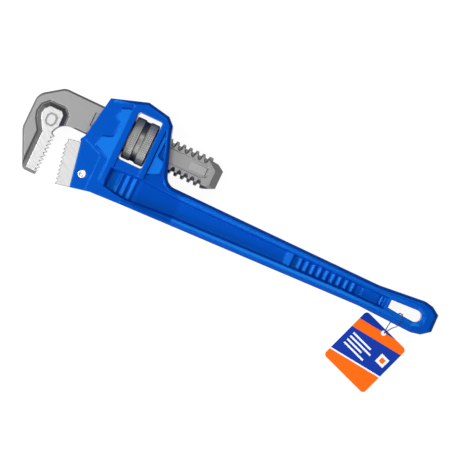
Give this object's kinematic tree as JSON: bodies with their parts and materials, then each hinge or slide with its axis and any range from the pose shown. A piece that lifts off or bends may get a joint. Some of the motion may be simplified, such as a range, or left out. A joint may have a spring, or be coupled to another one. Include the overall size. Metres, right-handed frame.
{
  "type": "pipe wrench",
  "caption": "Heavy pipe wrench: cast handle with a housed head, toothed hook jaw on a threaded shank, adjusting nut, toothed heel jaw, and a card tag tied through its hang slot.",
  "frame": {"origin": "under the middle of the tool without its tag and string, at the height of the flat of the head that it lies on", "axes": "+X from the nut towards the free end of the handle, +Y from the bottom of the jaws to the top of the head, +Z through the thickness, away from the side it lies on"},
  "size_m": [0.3558, 0.1332, 0.0352],
  "materials": {
    "cast_blue": "glossy powder coat over cast iron",
    "forged_steel": "forged, tumbled and oiled",
    "ground_steel": "ground bright",
    "nut_steel": "machined and knurled",
    "pin_steel": "turned",
    "spring_steel": "dark tempered",
    "card": "printed laminated card",
    "string": "twisted cord"
  },
  "bodies": {
    "casting": {"handle": "cast_blue", "heel_jaw": "ground_steel", "heel_jaw_pin": "pin_steel", "coil_spring": "spring_steel", "tag_string": "string"},
    "rocker": {"flat_spring": "spring_steel", "spring_rivet": "spring_steel"},
    "nut": {"adjusting_nut": "nut_steel"},
    "hook": {"hook_jaw": "forged_steel"},
    "tag": {"hang_tag": "card"}
  },
  "joints": [
    {"name": "jaw_rock", "type": "hinge", "parent": "casting", "child": "rocker", "pos_m": [-0.09015, 0.01385, 0.0176], "axis": [0, 0, 1], "range_deg": [0, 2.2], "stiffness_Nm_per_rad": 0.93, "springref_deg": -2.86, "deforming": ["coil_spring"]},
    {"name": "nut_turn", "type": "hinge", "parent": "rocker", "child": "nut", "pos_m": [-0.09015, 0.01385, 0.0176], "axis": [1, 0, 0], "range_deg": [-553, 2880.5]},
    {"name": "jaw_travel", "type": "slide", "parent": "rocker", "child": "hook", "axis": [1, 0, 0], "range_m": [-0.0448, 0.0086]},
    {"name": "tag_swivel", "type": "hinge", "parent": "casting", "child": "tag", "pos_m": [0.14555, -0.04015, 0.00775], "axis": [0, 0, 1], "range_deg": [-2, 35]}
  ],
  "couplings": [
    {"joint": "nut_turn", "follows": "jaw_travel", "rad_per_m": -1122}
  ]
}
